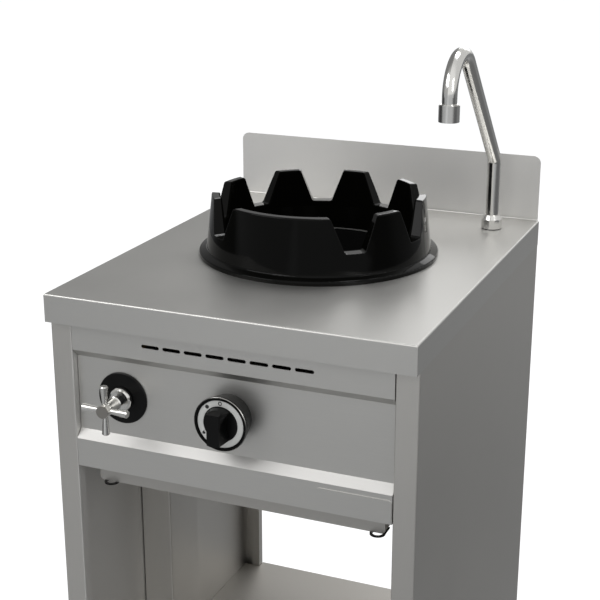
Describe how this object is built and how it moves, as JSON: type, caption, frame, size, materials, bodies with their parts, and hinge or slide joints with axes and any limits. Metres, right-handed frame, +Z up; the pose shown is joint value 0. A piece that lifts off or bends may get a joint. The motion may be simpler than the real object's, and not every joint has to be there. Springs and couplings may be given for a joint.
{
  "type": "wok range",
  "caption": "Free-standing stainless steel wok range with a gas burner under a castellated cast ring, a swivel tap over the worktop, a slide-out drip tray and an open lower shelf.",
  "frame": {"origin": "on the floor, under the middle of the whole range's bounding box", "axes": "+X to the user's right, -Y towards the user at the front, +Z up"},
  "size_m": [0.5, 0.63, 1.1431],
  "materials": {
    "stainless": "satin brushed stainless steel",
    "chrome": "polished chrome",
    "cast_iron": "as cast, heat blackened",
    "black_enamel": "gloss black vitreous enamel",
    "brass": "plain brass",
    "black_plastic": "satin black",
    "dial_face": "satin",
    "hardware": "bright zinc",
    "seal_rubber": "matte"
  },
  "bodies": {
    "stand": {"worktop": "stainless", "side_panel_left": "stainless", "side_panel_right": "stainless", "control_panel": "stainless", "name_plate": "dial_face", "back_panel": "stainless", "front_rail": "stainless", "rear_rail": "stainless", "lower_shelf": "stainless", "pipe_duct": "stainless", "tray_runner_left": "stainless", "tray_runner_right": "stainless", "worktop_bolts": "hardware", "rail_bolts": "hardware", "panel_bolts": "hardware", "leg_sleeves": "stainless", "leg_bolts": "hardware", "burner_well": "black_enamel", "well_nuts": "hardware", "burner_bracket": "stainless", "burner_body": "cast_iron", "burner_cap": "cast_iron", "bracket_bolts": "hardware", "injector": "brass", "burner_feed_pipe": "brass", "pilot_burner": "brass", "pilot_pipe": "brass", "thermocouple": "brass", "gas_valve": "brass", "gas_inlet_pipe": "brass", "knob_bezel": "black_plastic", "dial_ring": "dial_face", "water_valve": "brass", "water_valve_rose": "black_plastic", "water_valve_collar": "chrome", "water_inlet_pipe": "brass", "tap_supply_pipe": "brass", "tap_base": "chrome", "tap_seal": "seal_rubber", "tap_locknut": "brass"},
    "knob_slider": {"valve_thrust_collar": "brass"},
    "knob": {"valve_spindle": "hardware", "gas_knob": "black_plastic"},
    "water_handle": {"water_spindle": "black_plastic", "cross_handle": "chrome", "handle_cap": "dial_face"},
    "tap_spout": {"spout": "chrome", "aerator": "chrome"},
    "tray": {"drip_tray": "stainless", "tray_pulls": "black_plastic"},
    "ring": {"wok_ring": "black_enamel"},
    "foot_fl": {"foot_front_left": "stainless"},
    "foot_fr": {"foot_front_right": "stainless"},
    "foot_bl": {"foot_back_left": "stainless"},
    "foot_br": {"foot_back_right": "stainless"}
  },
  "joints": [
    {"name": "gas_knob_push", "type": "slide", "parent": "stand", "child": "knob_slider", "axis": [0, 1, 0], "range_m": [0, 0.003], "stiffness_N_per_m": 1500, "springref_m": -0.002},
    {"name": "gas_knob_turn", "type": "hinge", "parent": "knob_slider", "child": "knob", "pos_m": [0, -0.261, 0.71319], "axis": [0, -1, 0], "range_deg": [0, 122]},
    {"name": "water_valve_turn", "type": "hinge", "parent": "stand", "child": "water_handle", "pos_m": [-0.1535, -0.261, 0.71319], "axis": [0, -1, 0], "range_deg": [0, 180]},
    {"name": "spout_swivel", "type": "hinge", "parent": "stand", "child": "tap_spout", "pos_m": [0.193, 0.248, 0.871], "axis": [0, 0, 1], "continuous": true},
    {"name": "tray_slide", "type": "slide", "parent": "stand", "child": "tray", "axis": [0, -1, 0], "range_m": [0, 0.42]},
    {"name": "wok_ring_lift", "type": "slide", "parent": "stand", "child": "ring", "axis": [0, 0, 1], "range_m": [0, 0.12]},
    {"name": "foot_front_left_screw", "type": "slide", "parent": "stand", "child": "foot_fl", "axis": [0, 0, -1], "range_m": [0, 0.035]},
    {"name": "foot_front_right_screw", "type": "slide", "parent": "stand", "child": "foot_fr", "axis": [0, 0, -1], "range_m": [0, 0.035]},
    {"name": "foot_back_left_screw", "type": "slide", "parent": "stand", "child": "foot_bl", "axis": [0, 0, -1], "range_m": [0, 0.035]},
    {"name": "foot_back_right_screw", "type": "slide", "parent": "stand", "child": "foot_br", "axis": [0, 0, -1], "range_m": [0, 0.035]}
  ]
}
